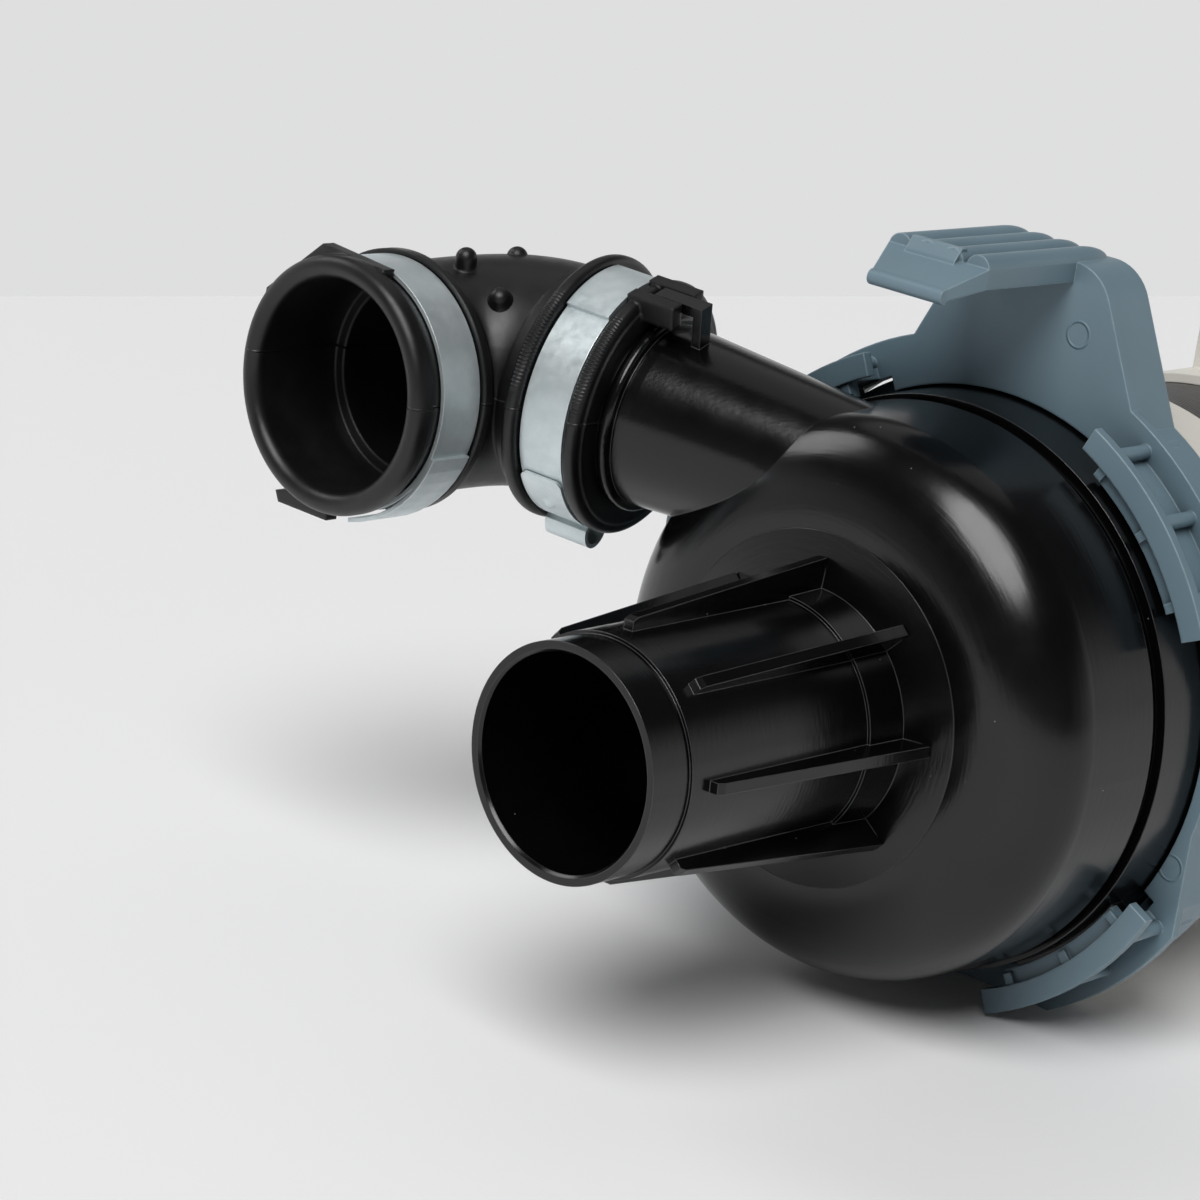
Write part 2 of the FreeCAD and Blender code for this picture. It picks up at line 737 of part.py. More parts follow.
def clamp(ear_turn):
    """Ear clamp about the X axis: a band with one pinched ear, which points down before its turn."""
    r_in = cuff_r + clamp_gap
    r_out = r_in + clamp_wall
    half = clamp_ear_width / 2
    side = V(-clamp_width / 2, 0, 0)
    band = Part.makeCylinder(r_out, clamp_width, side, V(1, 0, 0))
    lap = Part.makeCylinder(r_out + clamp_wall, clamp_width, side, V(1, 0, 0), clamp_lap)
    lap.rotate(V(0, 0, 0), V(1, 0, 0), clamp_lap_turn)
    foot = -r_out + clamp_wall
    top = -r_out - clamp_ear_height
    room = Part.makeCylinder(r_in, clamp_width + 2, V(-clamp_width / 2 - 1, 0, 0), V(1, 0, 0))
    gap = clamp_ear(half - clamp_wall, foot + 2, top + clamp_wall)
    solid = fused(band, lap, clamp_ear(half, foot, top)).cut([room, gap])
    solid.rotate(V(0, 0, 0), V(1, 0, 0), ear_turn)
    return solid


def clamp_ear(half, foot, top):
    """Block of the ear: parallel legs with a round top."""
    corner = half * 0.9
    points = [V(0, -half * 0.6, foot), V(0, -half, top + corner)]
    crown = Part.Arc(V(0, -half, top + corner), V(0, 0, top), V(0, half, top + corner)).toShape()
    edges = [Part.makeLine(points[0], points[1]), crown,
             Part.makeLine(V(0, half, top + corner), V(0, half * 0.6, foot)),
             Part.makeLine(V(0, half * 0.6, foot), points[0])]
    face = Part.Face(Part.Wire(edges))
    face.translate(V(-clamp_width / 2, 0, 0))
    return face.extrude(V(clamp_width, 0, 0))


def pipe_clamp():
    """Clamp that holds the elbow on the outlet pipe."""
    solid = clamp(-pipe_clamp_turn)
    solid.translate(V(-pipe_clamp_place, 0, 0))
    return on_outlet(solid)


def free_clamp():
    """Clamp round the elbow's free cuff: a plain band whose loose tail stands off a little."""
    r_in = cuff_r + clamp_gap
    r_out = r_in + clamp_wall
    y = free_clamp_y - clamp_width / 2
    solid = fused(ring(r_out, r_in, y, clamp_width), clamp_tail(r_out - 0.1, y))
    solid.translate(V(elbow_x, 0, elbow_z))
    return solid


def clamp_tail(radius, y):
    """Outer end of the band, which lies on it at first and lifts off towards its tip."""
    inner = []
    outer = []
    for i in range(clamp_tail_steps + 1):
        t = i / clamp_tail_steps
        angle = clamp_tail_start + (clamp_tail_end - clamp_tail_start) * t
        here = radius + clamp_tail_lift * t * t
        inner.append(polar(here, angle))
        outer.append(polar(here + clamp_wall, angle))
    return prism(inner + outer[::-1], y, clamp_width)


def impeller():
    """Rear half of the closed impeller: hub, back disc and curved blades."""
    hub_in = shaft_r
    hub_front = impeller_back_y - impeller_hub_front
    back = revolved(
        (hub_in, hub_front), (impeller_hub_r, hub_front),
        ((impeller_hub_r, impeller_back_y - 3), (impeller_hub_r + 3, impeller_back_y),
         (impeller_hub_r + 8, impeller_back_y)),
        (impeller_r, impeller_back_y), (impeller_r, impeller_back_y + impeller_wall),
        (impeller_hub_r, impeller_back_y + impeller_wall), (impeller_hub_r, impeller_hub_back_y),
        (hub_in, impeller_hub_back_y))
    return fused(back, *[piece.cut(shroud_room()) for piece in around(blade(), impeller_blades)])


def impeller_shroud():
    """Front half of the impeller, welded on the blades: sloping disc with the eye's collar."""
    eye = impeller_eye_r
    wall = impeller_wall
    front = impeller_front_y
    rim_y = impeller_back_y - impeller_outlet
    return revolved(
        (eye - wall, front), (eye, front), (eye, front + 3), (impeller_r, rim_y - wall),
        (impeller_r, rim_y), (eye, front + 3 + wall), (eye - wall, front + 3 + wall))


def shroud_room():
    """Everything in front of the shroud's rear face, which trims the blades."""
    y = impeller_front_y - 1
    rim_y = impeller_back_y - impeller_outlet
    eye_y = impeller_front_y + 3 + impeller_wall
    return revolved((0, y), (impeller_r + 1, y), (impeller_r + 1, rim_y), (impeller_r, rim_y),
                    (impeller_eye_r, eye_y), (0, eye_y))


def blade():
    """One blade, swept back from the hub to the rim."""
    inner = impeller_hub_r + impeller_blade_root
    depth = impeller_blade_depth
    points = []
    for radius, angle in ((inner, 0.0), ((inner + impeller_r) / 2, -impeller_blade_sweep * 0.62),
                          (impeller_r - 0.3, -impeller_blade_sweep)):
        turn = math.radians(angle)
        points.append(V(radius * math.cos(turn), impeller_back_y - depth + 0.4, radius * math.sin(turn)))
    path = Part.Arc(*points).toShape()
    return path.makeOffset2D(impeller_wall / 2, openResult=True, fill=True).extrude(V(0, depth, 0))


def impeller_nut():
    """Domed nut that clamps the impeller on the shaft."""
    seat_y = impeller_back_y - impeller_hub_front
    front = seat_y - nut_length
    return revolved(
        (0, front), ((nut_r * 0.6, front), (nut_r, front + 1.5), (nut_r, front + 3.5)),
        (nut_r, seat_y), (thread_r, seat_y), (thread_r, front + nut_cap), (0, front + nut_cap))


def motor_shaft():
    """Shaft that runs from the impeller nut to the rear bearing."""
    step_y = impeller_back_y - impeller_hub_front
    front = step_y - nut_length + nut_cap + 0.2
    return revolved(
        (0, front), (thread_r, front), (thread_r, step_y), (shaft_r, step_y),
        (shaft_r, shaft_rear_y - 0.6), (shaft_r - 0.6, shaft_rear_y), (0, shaft_rear_y))


def seal_bellows():
    """Rubber bellows that turns with the impeller and pushes the seal ring back."""
    y = impeller_hub_back_y
    end = seal_face_y() - seal_length
    third = (end - y) / 3
    return revolved(
        (shaft_r, y), (seal_r - 1.0, y), (seal_r - 2.4, y + third), (seal_r - 1.0, y + 2 * third),
        (seal_r - 2.4, end), (shaft_r, end))


def seal_face_y():
    """Place of the face on which the seal ring turns."""
    return cover_web_y - cover_boss_front + seat_recess - running_gap


def seal_ring():
    """Carbon ring that turns against the fixed seat."""
    end = seal_face_y()
    return revolved(
        (shaft_r, end - seal_length), (seal_r, end - seal_length), (seal_r, end - 1.2),
        (seal_r - 1.2, end), (shaft_r + 1.4, end), (shaft_r + 1.4, end - 1.2), (shaft_r, end - 1.2))


def seal_seat():
    """Ceramic seat, fixed in the rear cover through its rubber cup."""
    y = seal_face_y() + running_gap
    return ring(seal_r, shaft_r + 1.0, y, seat_length)


def seat_cup():
    """Rubber cup that holds the seat in the rear cover."""
    y = seal_face_y() + running_gap
    back = cover_web_y + cover_web
    return revolved(
        (seal_r, y), (seal_r + seat_cup_wall, y), (seal_r + seat_cup_wall, back),
        (shaft_r + 1.0, back), (shaft_r + 1.0, y + seat_length), (seal_r, y + seat_length))


def slinger():
    """Disc on the shaft that throws drips off before the bearing."""
    y = front_bearing_y - slinger_lead
    return revolved(
        (shaft_r, y), (shaft_r + 2.5, y), (slinger_r, y + 0.4), (slinger_r, y + 1.2),
        (shaft_r + 2.5, y + 2.0), (shaft_r, y + 2.0))


def race(r_out, r_in, y):
    """One ring of a ball bearing with its groove."""
    middle = y + bearing_width / 2
    groove = Part.makeTorus(bearing_pitch_r, bearing_ball_r + race_gap, V(0, middle, 0), BACKWARDS)
    return ring(r_out, r_in, y, bearing_width).cut(groove)


def balls(y):
    """The balls of one bearing, evenly spaced."""
    ball = Part.makeSphere(bearing_ball_r, V(bearing_pitch_r, y + bearing_width / 2, 0))
    return around(ball, bearing_balls)


def cage(y):
    """Ring that keeps the balls apart."""
    width = 2 * bearing_ball_r + cage_edge
    half = cage_wall / 2
    body = ring(bearing_pitch_r + half, bearing_pitch_r - half, y + (bearing_width - width) / 2, width)
    pocket = Part.makeCylinder(bearing_ball_r + ball_gap, 2 * cage_wall,
                               V(bearing_pitch_r - cage_wall, y + bearing_width / 2, 0), V(1, 0, 0))
    return body.cut(around(pocket, bearing_balls))


def bearing(name, y):
    """The four sub-parts of one ball bearing."""
    write(name + "_outer_ring", race(bearing_r, bearing_r - race_wall, y))
    write(name + "_inner_ring", race(bearing_bore_r + race_wall, bearing_bore_r, y))
    write(name + "_balls", Part.makeCompound(balls(y)))
    write(name + "_cage", cage(y))


def rear_bearing_y():
    """Front face of the rear bearing, which sits against the wave washer in the end shield."""
    return winding_cover_rear_y + end_shield_wall - shield_floor - washer_wall - bearing_width


def wave_washer():
    """Spring washer that loads the rear bearing."""
    return ring(bearing_r - 0.2, bearing_r - 2.4, rear_bearing_y() + bearing_width, washer_wall)


def retaining_rings():
    """Spring rings on the shaft, behind the front bearing and before the rear one."""
    rings = []
    for y in (front_bearing_y + bearing_width, rear_bearing_y() - clip_ring_width):
        rings.append(sector(shaft_r, shaft_r + clip_ring_rise, y, clip_ring_width, clip_ring_start,
                            clip_ring_start + clip_ring_turn))
    return Part.makeCompound(rings)


def stator_core():
    """Laminated stack with open slots and holes for the through screws."""
    body = ring(stator_r, stator_bore_r, stator_front_y, stator_length)
    half = slot_half_angle
    y = stator_front_y - 1
    depth = stator_length + 2
    slot = sector(slot_in_r, slot_out_r, y, depth, -half, half)
    mouth = sector(stator_bore_r - 1, slot_in_r + 0.2, y, depth, -slot_mouth_half, slot_mouth_half)
    start = 180.0 / stator_slots
    cuts = around(slot, stator_slots, start) + around(mouth, stator_slots, start)
    return body.cut(cuts + through_holes(y, depth))


def stator_winding():
    """Copper coils: bars in the slots, joined by a bundle at each end of the stack."""
    y = stator_front_y - winding_stand_off - winding_length
    bar = sector(slot_in_r + 0.4, slot_out_r - 0.4, y + 1, stator_length + 2 * (
        winding_length + winding_stand_off) - 2, -slot_half_angle + 0.8, slot_half_angle - 0.8)
    bundles = []
    for front in (y, stator_front_y + stator_length + winding_stand_off):
        edge = (winding_out_r - winding_in_r) * 2 / 7
        bundles.append(revolved(
            (winding_in_r + edge, front), (winding_out_r - edge, front), (winding_out_r, front + edge),
            (winding_out_r, front + winding_length - edge), (winding_out_r - edge, front + winding_length),
            (winding_in_r + edge, front + winding_length), (winding_in_r, front + winding_length - edge),
            (winding_in_r, front + edge)))
    return fused(bundles[0], bundles[1], *around(bar, stator_slots, 180.0 / stator_slots))


def winding_cover(outer_y, core_y):
    """Cream cup over one end of the winding; outer_y is its closed end, core_y the stack's face."""
    sign = 1 if core_y > outer_y else -1
    wall = winding_cover_wall
    lap = core_y + sign * winding_lap
    inside = stator_r + stator_gap
    hole = slot_out_r
    cup = revolved(
        (hole, outer_y), (winding_cover_r, outer_y), (winding_cover_r, lap), (inside, lap),
        (inside, core_y), (inside - winding_ledge, core_y), (inside - winding_ledge, outer_y + sign * wall),
        (hole, outer_y + sign * wall))
    low = min(outer_y, lap)
    post = Part.makeCylinder(through_screw_r + winding_post_wall, abs(core_y - outer_y), V(through_screw_pcr,
                             min(outer_y, core_y), 0), BACKWARDS)
    solid = fused(cup, *around(post, through_screws, 45))
    return solid.cut(through_holes(low - 1, abs(lap - outer_y) + 2))


def rear_winding_cover():
    """Rear cream cover, with the terminal housing on top."""
    body = winding_cover(winding_cover_rear_y, stator_front_y + stator_length)
    return fused(body, terminal_housing())


def terminal_housing():
    """Open box on the rear cover that shields the terminals."""
    y = winding_cover_rear_y - terminal_depth
    z = winding_cover_r - terminal_root
    half = terminal_width / 2
    wall = terminal_wall
    box = Part.makeBox(terminal_width, terminal_depth, terminal_height + terminal_root, V(-half, y, z))
    room = Part.makeBox(terminal_width - 2 * wall, terminal_depth, terminal_height - 2 * wall,
                        V(-half + wall, y + terminal_floor, winding_cover_r + wall))
    return box.cut([room, ring(stator_r - 0.6, 0, y - 1, terminal_depth + 2)])


def terminals():
    """Three flat tabs that stand in the terminal housing."""
    y = winding_cover_rear_y - terminal_depth + terminal_floor
    z = winding_cover_r + terminal_height / 2
    tabs = []
    for i in range(terminal_count):
        x = (i - (terminal_count - 1) / 2) * terminal_pitch
        tabs.append(Part.makeBox(tab_wall, tab_length, tab_width, V(x - tab_wall / 2, y, z - tab_width / 2)))
    return Part.makeCompound(tabs)


def rear_end_shield():
    """Cast disc that carries the rear bearing and takes the screws' heads."""
    back = winding_cover_rear_y + end_shield_wall
    boss_r = bearing_r + bearing_boss_wall
    front = rear_bearing_y() - bearing_seat_overhang
    body = revolved(
        (shaft_r + 1.0, back - shield_floor), (bearing_r, back - shield_floor), (bearing_r, front),
        (boss_r, front), (boss_r + 1.0, winding_cover_rear_y), (winding_cover_r, winding_cover_rear_y),
        (winding_cover_r, back - 1.0), (winding_cover_r - 1.0, back), (shaft_r + 1.0, back))
    holes = through_holes(winding_cover_rear_y - 1, end_shield_wall + 2)
    return body.cut(vents(winding_cover_rear_y, end_shield_wall) + holes)


def rotor_core():
    """Laminated rotor stack."""
    return ring(rotor_r, shaft_r, stator_front_y, stator_length)


def end_rings():
    """Cast rings of the rotor with cooling fins, one at each end of the stack."""
    rings = []
    for y, fin_y in ((stator_front_y - end_ring_width, stator_front_y - 2 * end_ring_width),
                     (stator_front_y + stator_length, stator_front_y + stator_length + end_ring_width)):
        body = ring(rotor_r - 1.5, rotor_r - 9.0, y, end_ring_width)
        fin = radial_plate([(rotor_r - 8.0, fin_y), (rotor_r - 2.0, fin_y),
                            (rotor_r - 2.0, fin_y + end_ring_width), (rotor_r - 8.0, fin_y + end_ring_width)],
                           1.4, 0)
        rings.append(body.fuse(around(fin, rotor_fins)).removeSplitter())
    return Part.makeCompound(rings)


def screws():
    """Long screws that hold the end shield, stack and covers on the bracket."""
    head_y = winding_cover_rear_y + end_shield_wall
    tip_y = web_y - screw_bite
    screw = Part.makeCylinder(through_screw_r, head_y - tip_y, V(through_screw_pcr, tip_y, 0), BACKWARDS)
    head = Part.makeCylinder(screw_head_r, screw_head, V(through_screw_pcr, head_y, 0), BACKWARDS)
    socket = Part.makeBox(1.2, screw_head, 2 * screw_head_r + 1, V(
        through_screw_pcr - 0.6, head_y + screw_head - 1.2, -screw_head_r - 0.5))
    return Part.makeCompound(around(fused(screw, head).cut(socket), through_screws, 45))


def write(name, shape):
    """Save one sub-part."""
    shape.exportStep("parts/" + name + ".step")
    print(name, len(shape.Solids), round(shape.Volume, 1), shape.isValid())


os.makedirs("parts", exist_ok=True)
write("pump_volute", pump_volute())
write("volute_inlet", volute_inlet())
write("cover_seal", cover_seal())
write("rear_cover", rear_cover())
write("motor_bracket", motor_bracket())
write("outlet_elbow", elbow())
write("pipe_clamp", pipe_clamp())
write("free_end_clamp", free_clamp())
write("impeller", impeller())
write("impeller_shroud", impeller_shroud())
write("impeller_nut", impeller_nut())
write("motor_shaft", motor_shaft())
write("seal_bellows", seal_bellows())
write("seal_ring", seal_ring())
write("seal_seat", seal_seat())
write("seal_seat_cup", seat_cup())
write("slinger", slinger())
bearing("front_bearing", front_bearing_y)
bearing("rear_bearing", rear_bearing_y())
write("wave_washer", wave_washer())
write("retaining_rings", retaining_rings())
write("stator_core", stator_core())
write("stator_winding", stator_winding())
write("front_winding_cover", winding_cover(winding_cover_front_y, stator_front_y))
write("rear_winding_cover", rear_winding_cover())
write("terminals", terminals())
write("rear_end_shield", rear_end_shield())
write("rotor_core", rotor_core())
write("rotor_end_rings", end_rings())
write("through_screws", screws())
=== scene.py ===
import json
import math
import bmesh
import bpy
from mathutils import Matrix, Vector


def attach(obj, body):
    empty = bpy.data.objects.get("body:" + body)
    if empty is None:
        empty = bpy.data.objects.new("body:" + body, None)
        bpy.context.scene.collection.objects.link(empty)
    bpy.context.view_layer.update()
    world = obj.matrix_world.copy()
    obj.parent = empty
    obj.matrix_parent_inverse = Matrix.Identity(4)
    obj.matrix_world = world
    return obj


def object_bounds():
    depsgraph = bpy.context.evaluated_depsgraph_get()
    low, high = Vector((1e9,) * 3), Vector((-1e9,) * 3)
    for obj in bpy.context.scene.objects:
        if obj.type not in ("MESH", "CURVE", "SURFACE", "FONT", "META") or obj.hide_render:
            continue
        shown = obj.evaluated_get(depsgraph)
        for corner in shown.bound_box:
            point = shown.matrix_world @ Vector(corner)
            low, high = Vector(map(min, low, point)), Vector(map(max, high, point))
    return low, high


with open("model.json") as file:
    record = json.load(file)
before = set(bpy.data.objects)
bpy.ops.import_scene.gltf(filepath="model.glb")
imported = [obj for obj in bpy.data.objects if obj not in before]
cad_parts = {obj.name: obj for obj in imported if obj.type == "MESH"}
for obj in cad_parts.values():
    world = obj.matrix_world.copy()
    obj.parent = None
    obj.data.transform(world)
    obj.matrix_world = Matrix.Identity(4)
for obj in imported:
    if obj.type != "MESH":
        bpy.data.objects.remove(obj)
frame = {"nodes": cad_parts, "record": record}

cad_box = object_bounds()
nodes = frame["nodes"]
MM = 0.001
MICRON = 0.000001

# Camera, solved from the photograph's 1200 x 1200 frame
CAMERA_AZIMUTH = 40.8
CAMERA_ELEVATION = 16.2
CAMERA_ROLL = 7.9
CAMERA_DISTANCE = 577.3 * MM
CAMERA_CLIP = (0.01, 20.0)
FOCAL_PX = 3600.0
FRAME_PX = 1200.0
ORIGIN_PX = (560.4, 763.9)
SENSOR_MM = 36.0

# Floor: painted light brightens it towards the front over FLOOR_PAINTED_LIGHT_FADE metres, and
# it ends along a line level in the photograph
FLOOR_COLOUR = (0.92, 0.92, 0.925)
FLOOR_PAINTED_LIGHT_COLOUR = (0.985, 0.985, 0.99)
FLOOR_CLOUD_COLOUR = (0.6, 0.6, 0.6)
FLOOR_CLOUD_SHARE = 0.04
FLOOR_ROUGHNESS = 0.6
FLOOR_PAINTED_LIGHT_FADE = 0.625
FLOOR_END_PX = ((0.0, 296.0), (1200.0, 296.0))
FLOOR_REACH = 6.0
FLOOR_GAP = 0.2 * MM

# World: the backdrop behind, the dark side in front, the ceiling above, and where each fades in
BACKDROP_COLOUR = (0.735, 0.737, 0.74)
DARK_SIDE_COLOUR = (0.10, 0.10, 0.105)
CEILING_COLOUR = (0.05, 0.05, 0.052)
BACKDROP_FADE = (0.15, 0.65)
CEILING_FADE = (0.15, 0.45)

# Lamps: name, azimuth from +Y towards +X, elevation and width in degrees, strength
LAMPS = (
    ("front softbox", 157, 54, 40, 2.55),
    ("left softbox", -104, 38, 26, 0.50),
    ("rear softbox", -38, 60, 50, 0.18),
)
LAMP_AWAY = 2.0

# Marks left by the moulds, in millimetres
EJECTOR_PLACES = ((13.1, 105.5, 66.9), (51.0, 105.5, -19.4))
EJECTOR_R = 2.3
EJECTOR_LINE = 0.35
SEAM_Z = 38.5
SEAM_LINE = 0.25

# Front nub of the elbow: place, way, and (radius, height) from foot to tip, in millimetres
NUB_PLACE = (-75.5, 53.0, 55.0)
NUB_WAY = (0.35, -0.60, 0.72)
NUB_PROFILE = ((3.1, -0.6), (2.5, 0.0), (2.05, 0.6), (1.95, 1.3),
               (1.6, 2.0), (0.9, 2.5), (0.0, 2.65))
NUB_SIDES = 24

# Pipe clamp: axis, middle and the tongue that laps over the band, in millimetres and degrees
CLAMP_WAY = (0.9805, 0.1817, -0.0750)
CLAMP_CENTRE = (-62.26, 72.06, 38.96)
TONGUE_R = 23.55
TONGUE_WALL = 0.6
TONGUE_HALF = 4.4
TONGUE_CORNER = 1.3
TONGUE_CORNER_CUT = 0.8
TONGUE_TURNS = (122.0, 159.0)
TONGUE_ROWS = 38
TONGUE_COLUMNS = 22
TONGUE_EDGE_ANGLE = 35.0
TAB_TURN = 141.0
TAB_RISE = 0.8
TAB_LEAN = 0.5
TAB_HALF_ACROSS = 0.8
TAB_HALF_DOWN = 1.5

# Teeth beside the pipe clamp: count round the ring, middle and half of their arc, place, width
TEETH = 220
TEETH_TURNS = (62.0, 26.0)
TEETH_OUT = 6.1
TEETH_WIDTH = 1.6

# Surfaces: the middle of a noise's range, where painted edge highlights with wear, streaks,
# dust and painted shade in hollows show, sheets
NOISE_MIDDLE = (0.3, 0.7)
SHADER_SAMPLES = 6
EDGE_BEGINS = 0.985
EDGE_SLOPE = 7.0
WAVES_OVER_GRAIN = 6
STREAK_TURN = 0.004
DUST_SIZE = 0.035
DUST_PATCHES = 0.56
PAINTED_SHADE_REACH = 22 * MM
PAINTED_SHADE_FADE = (0.15, 0.65)
SHEET_PITCH = 1.0 * MM
SHEET_GROOVE = 0.5
WAVE_TEXTURE_FACTOR = 20


def direction(azimuth, elevation):
    """Unit vector from two angles in degrees: from +Y towards +X, and up."""
    azimuth = math.radians(azimuth)
    elevation = math.radians(elevation)
    return Vector((math.sin(azimuth) * math.cos(elevation),
                   math.cos(azimuth) * math.cos(elevation), math.sin(elevation)))


def camera_axes():
    """Viewing direction, image right and image up of the photograph."""
    roll = math.radians(CAMERA_ROLL)
    forward = direction(-CAMERA_AZIMUTH, -CAMERA_ELEVATION)
    level = forward.cross(Vector((0, 0, 1))).normalized()
    upright = level.cross(forward)
    right = level * math.cos(roll) + upright * math.sin(roll)
    up = upright * math.cos(roll) - level * math.sin(roll)
    return forward, right, up


def pixel_ray(pixel):
    """Way from the camera through a pixel of the photograph, one unit deep."""
    forward, right, up = camera_axes()
    across, down = [(value - FRAME_PX / 2) / FOCAL_PX for value in pixel]
    return forward + right * across - up * down


def put(name, data):
    """New object with its data, in the scene."""
    holder = bpy.data.objects.new(name, data)
    bpy.context.scene.collection.objects.link(holder)
    return holder


def add_camera():
    """Camera that puts the origin at its pixel of the photograph."""
    forward, right, up = camera_axes()
    camera = bpy.data.cameras.new("camera")
    camera.sensor_width = SENSOR_MM
    camera.lens = FOCAL_PX / FRAME_PX * SENSOR_MM
    camera.clip_start, camera.clip_end = CAMERA_CLIP
    holder = put("camera", camera)
    axes = Matrix((right, up, -forward)).transposed()
    eye = -pixel_ray(ORIGIN_PX) * CAMERA_DISTANCE
    holder.matrix_world = Matrix.Translation(eye) @ axes.to_4x4()
    bpy.context.scene.camera = holder


def feed(tree, socket, value):
    """Links an output to a socket, or sets the socket to a number, a vector or a colour."""
    if isinstance(value, bpy.types.NodeSocket):
        tree.links.new(value, socket)
    elif socket.type == "RGBA":
        socket.default_value = (*value, 1)
    else:
        socket.default_value = value


def new_material(name, colour, roughness, metallic=0.0):
    """Material with a Principled shader; returns (material, tree, shader)."""
    material = bpy.data.materials.new(name)
    material.use_nodes = True
    tree = material.node_tree
    shader = tree.nodes["Principled BSDF"]
    feed(tree, shader.inputs["Base Color"], colour)
    feed(tree, shader.inputs["Roughness"], roughness)
    feed(tree, shader.inputs["Metallic"], metallic)
    return material, tree, shader


def maths(tree, operation, *values):
    """Result of one maths node; each value is an output or a number."""
    node = tree.nodes.new("ShaderNodeMath")
    node.operation = operation
    for socket, value in zip(node.inputs, values):
        feed(tree, socket, value)
    return node.outputs["Value"]


def vector_maths(tree, operation, first, second):
    """Result of one vector maths node; each value is an output or a vector."""
    node = tree.nodes.new("ShaderNodeVectorMath")
    node.operation = operation
    feed(tree, node.inputs[0], first)
    feed(tree, node.inputs[1], second)
    return node.outputs["Vector" if operation == "SUBTRACT" else "Value"]


def mix(tree, factor, first, second):
    """Blend of two colours; each is an output or a plain colour."""
    node = tree.nodes.new("ShaderNodeMix")
    node.data_type = "RGBA"
    for socket, value in (("Factor", factor), ("A", first), ("B", second)):
        feed(tree, node.inputs[socket], value)
    return node.outputs["Result"]


def remap(tree, value, span, low=0.0, high=1.0):
    """Carries a span of a value onto low to high."""
    node = tree.nodes.new("ShaderNodeMapRange")
    sockets = ("Value", "From Min", "From Max", "To Min", "To Max")
    for socket, setting in zip(sockets, (value, *span, low, high)):
        feed(tree, node.inputs[socket], setting)
    return node.outputs["Result"]


def ramp(tree, value, first, second, span=NOISE_MIDDLE):
    """Colour that runs from the first to the second over a span of a value."""
    node = tree.nodes.new("ShaderNodeValToRGB")
    for element, place, colour in zip(node.color_ramp.elements, span, (first, second)):
        element.position = place
        element.color = (*colour, 1)
    feed(tree, node.inputs["Fac"], value)
    return node.outputs["Color"]


def place_on(tree, kind="Object"):
    """Place on the object in metres, or another kind of texture coordinate."""
    return tree.nodes.new("ShaderNodeTexCoord").outputs[kind]


def split(tree, vector):
    """x, y and z of a vector."""
    node = tree.nodes.new("ShaderNodeSeparateXYZ")
    feed(tree, node.inputs["Vector"], vector)
    return node.outputs["X"], node.outputs["Y"], node.outputs["Z"]


def noise_at(tree, place, scale, detail, rough=0.5):
    """Noise at a place; scale is in cycles per metre."""
    texture = tree.nodes.new("ShaderNodeTexNoise")
    sockets = ("Vector", "Scale", "Detail", "Roughness")
    for socket, setting in zip(sockets, (place, scale, detail, rough)):
        feed(tree, texture.inputs[socket], setting)
    return texture.outputs["Fac"]


def noise(tree, scale, detail, rough=0.5, stretch=(1, 1, 1)):
    """Noise in the object's own coordinates, which stretch multiplies."""
    mapping = tree.nodes.new("ShaderNodeMapping")
    feed(tree, mapping.inputs["Vector"], place_on(tree))
    feed(tree, mapping.inputs["Scale"], stretch)
    return noise_at(tree, mapping.outputs["Vector"], scale, detail, rough)


def near(tree, value, centre, half_width):
    """1 where a value is at its centre, falling to 0 at half a width from it."""
    away = maths(tree, "ABSOLUTE", maths(tree, "SUBTRACT", value, centre))
    rise = maths(tree, "SUBTRACT", 1.0, maths(tree, "DIVIDE", away, half_width))
    return maths(tree, "MAXIMUM", rise, 0.0)


def rounded_normal(tree, radius):
    """Normal that runs smoothly round each edge."""
    node = tree.nodes.new("ShaderNodeBevel")
    node.samples = SHADER_SAMPLES
    feed(tree, node.inputs["Radius"], radius)
    return node.outputs["Normal"]


def edge_wear_and_highlight_mask(tree, normal):
    """1 along the edges, where the rounded normal leaves the surface's own: the mask of the
    painted edge highlight and edge wear.
    """
    surface = tree.nodes.new("ShaderNodeNewGeometry").outputs["Normal"]
    agree = vector_maths(tree, "DOT_PRODUCT", normal, surface)
    leaves = maths(tree, "MULTIPLY", maths(tree, "SUBTRACT", EDGE_BEGINS, agree), EDGE_SLOPE)
    edge_wear_and_highlight = maths(tree, "MINIMUM", maths(tree, "MAXIMUM", leaves, 0.0), 1.0)
    uneven = remap(tree, noise(tree, scale=400, detail=3), NOISE_MIDDLE, low=0.5)
    return maths(tree, "MULTIPLY", edge_wear_and_highlight, uneven)


def paint(tree, shader, colour, normal, edge_wear_and_highlight_colour):
    """Gives a shader its base colour, with a lighter colour along the edges as painted
    highlight and wear.
    """
    edge_wear_and_highlight = mix(tree, edge_wear_and_highlight_mask(tree, normal), colour, edge_wear_and_highlight_colour)
    feed(tree, shader.inputs["Base Color"], edge_wear_and_highlight)


def repaint(tree, shader, factor, colour):
    """Blends a colour over a shader's base colour where the factor is 1."""
    socket = shader.inputs["Base Color"]
    feed(tree, socket, mix(tree, factor, socket.links[0].from_socket, colour))


def gloss(tree, shader, cloud, low, high):
    """Gives a shader a roughness that runs from low to high with a noise."""
    feed(tree, shader.inputs["Roughness"], remap(tree, cloud, NOISE_MIDDLE, low, high))


def relief(tree, shader, layers, normal):
    """Bump from several heights, each (value, distance in metres), over a normal."""
    for value, distance in layers:
        bump = tree.nodes.new("ShaderNodeBump")
        sockets = ("Strength", "Distance", "Height", "Normal")
        for socket, setting in zip(sockets, (1.0, distance, value, normal)):
            feed(tree, bump.inputs[socket], setting)
        normal = bump.outputs["Normal"]
    feed(tree, shader.inputs["Normal"], normal)


